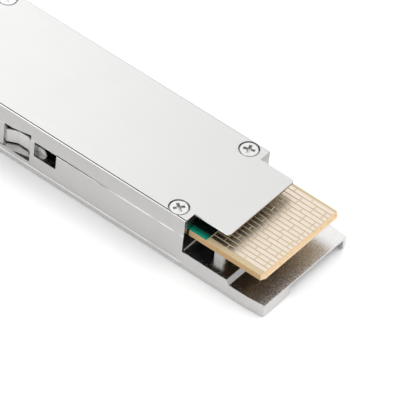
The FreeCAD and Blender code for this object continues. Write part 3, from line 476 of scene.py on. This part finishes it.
def add_return_spring(node):
    """A coil of round wire in the place of the CAD spring."""
    low, high = (Vector(corner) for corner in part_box(node))
    middle = (low + high) / 2
    radius = (high.z - low.z - SPRING_WIRE) / 2
    rise = (high.x - low.x - SPRING_WIRE) / (SPRING_TURNS * TURN_STEPS)
    turn = 2 * math.pi / TURN_STEPS
    rings = SPRING_TURNS * TURN_STEPS + 1
    points = []
    for ring in range(rings):
        outward = Vector((0, math.sin(ring * turn), -math.cos(ring * turn)))
        around = Vector((0, math.cos(ring * turn), math.sin(ring * turn)))
        centre = Vector((low.x + SPRING_WIRE / 2 + ring * rise, middle.y, middle.z)) + radius * outward
        across = (Vector((rise, 0, 0)) + radius * turn * around).normalized().cross(outward)
        for side in range(WIRE_SIDES):
            angle = 2 * math.pi * side / WIRE_SIDES
            points.append(centre + SPRING_WIRE / 2 * (math.cos(angle) * outward + math.sin(angle) * across))
    faces = [tuple(reversed(range(WIRE_SIDES))), tuple(range(len(points) - WIRE_SIDES, len(points)))]
    for ring in range(rings - 1):
        for side in range(WIRE_SIDES):
            here, beside = ring * WIRE_SIDES + side, ring * WIRE_SIDES + (side + 1) % WIRE_SIDES
            faces.append((here, beside, beside + WIRE_SIDES, here + WIRE_SIDES))
    mesh = bpy.data.meshes.new(node + "_wire")
    mesh.from_pydata(points, [], faces)
    mesh.shade_smooth()
    mesh.materials.append(FINISHES["spring_steel"])
    spring = bpy.data.objects.new(node + "_wire", mesh)
    bpy.context.scene.collection.objects.link(spring)
    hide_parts(node)
    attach(spring, "housing")
    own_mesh(spring)


def add_floor():
    """Plain white paper just under the part."""
    half = FLOOR_SIZE / 2
    mesh = bpy.data.meshes.new("floor")
    corners = [(-half, -half, -FLOOR_DROP), (half, -half, -FLOOR_DROP),
               (half, half, -FLOOR_DROP), (-half, half, -FLOOR_DROP)]
    mesh.from_pydata(corners, [], [(0, 1, 2, 3)])
    floor = bpy.data.objects.new("floor", mesh)
    bpy.context.scene.collection.objects.link(floor)
    material = bpy.data.materials.new("floor_paper")
    material.use_nodes = True
    paper = material.node_tree.nodes["Principled BSDF"]
    paper.inputs["Base Color"].default_value = FLOOR_WHITE
    paper.inputs["Roughness"].default_value = 1.0
    paper.inputs["Specular IOR Level"].default_value = 0.0
    mesh.materials.append(material)


def add_world():
    """A light tent: white from above, greyer towards the horizon and on the camera's side."""
    world = bpy.data.worlds.new("studio")
    bpy.context.scene.world = world
    world.use_nodes = True
    tree = world.node_tree
    background = tree.nodes["Background"]
    background.inputs["Color"].default_value = (1.0, 1.0, 1.0, 1.0)
    direction = tree.nodes.new("ShaderNodeTexCoord").outputs["Generated"]
    split = tree.nodes.new("ShaderNodeSeparateXYZ")
    tree.links.new(direction, split.inputs["Vector"])
    strength = tree.nodes.new("ShaderNodeMapRange")
    strength.interpolation_type = "SMOOTHSTEP"
    tree.links.new(split.outputs["Z"], strength.inputs["Value"])
    for socket, value in (("From Min", 0.0), ("From Max", TENT_TOP),
                          ("To Min", HORIZON_LIGHT), ("To Max", TENT_LIGHT)):
        strength.inputs[socket].default_value = value
    lean = tree.nodes.new("ShaderNodeVectorMath")
    lean.operation = "DOT_PRODUCT"
    tree.links.new(direction, lean.inputs[0])
    lean.inputs[1].default_value = BRIGHT_SIDE
    side = tree.nodes.new("ShaderNodeMath")
    side.inputs[1].default_value = 1.0
    tree.links.new(lean.outputs["Value"], side.inputs[0])
    tent = tree.nodes.new("ShaderNodeMath")
    tent.operation = "MULTIPLY"
    tree.links.new(strength.outputs["Result"], tent.inputs[0])
    tree.links.new(side.outputs["Value"], tent.inputs[1])
    tree.links.new(tent.outputs["Value"], background.inputs["Strength"])


def add_lamp(name, place, target, side, power):
    """A square softbox that points at its target."""
    light = bpy.data.lights.new(name, "AREA")
    light.shape = "SQUARE"
    light.size = side
    light.energy = power
    lamp = bpy.data.objects.new(name, light)
    lamp.location = place
    lamp.rotation_euler = (Vector(target) - Vector(place)).to_track_quat("-Z", "Y").to_euler()
    bpy.context.scene.collection.objects.link(lamp)


def add_camera():
    """The photograph's view, with the part's origin at its place in the picture."""
    back = Vector((math.sin(CAMERA_AZIMUTH) * math.cos(CAMERA_ELEVATION),
                   -math.cos(CAMERA_AZIMUTH) * math.cos(CAMERA_ELEVATION),
                   math.sin(CAMERA_ELEVATION)))
    level = Vector((math.cos(CAMERA_AZIMUTH), math.sin(CAMERA_AZIMUTH), 0))
    upright = back.cross(level)
    right = math.cos(CAMERA_ROLL) * level + math.sin(CAMERA_ROLL) * upright
    up = math.cos(CAMERA_ROLL) * upright - math.sin(CAMERA_ROLL) * level
    across = (ORIGIN_PIXEL[0] - IMAGE_SIDE / 2) / PIXELS_PER_MM * MM
    down = (ORIGIN_PIXEL[1] - IMAGE_SIDE / 2) / PIXELS_PER_MM * MM
    place = back * CAMERA_DISTANCE - right * across + up * down
    data = bpy.data.cameras.new("camera")
    data.sensor_width = SENSOR_WIDTH
    data.lens = SENSOR_WIDTH * PIXELS_PER_MM / MM * CAMERA_DISTANCE / IMAGE_SIDE
    data.clip_start = 0.01
    data.clip_end = 100.0
    camera = bpy.data.objects.new("camera", data)
    turn = Matrix((right, up, back)).transposed()
    camera.matrix_world = Matrix.Translation(place) @ turn.to_4x4()
    bpy.context.scene.collection.objects.link(camera)
    bpy.context.scene.camera = camera


dress_nodes()
add_return_spring("left_return_spring")
add_return_spring("right_return_spring")
add_floor()
add_world()
for lamp_name, lamp_setup in LAMPS.items():
    add_lamp(lamp_name, *lamp_setup)
add_camera()
bpy.context.scene.view_settings.view_transform = "Standard"
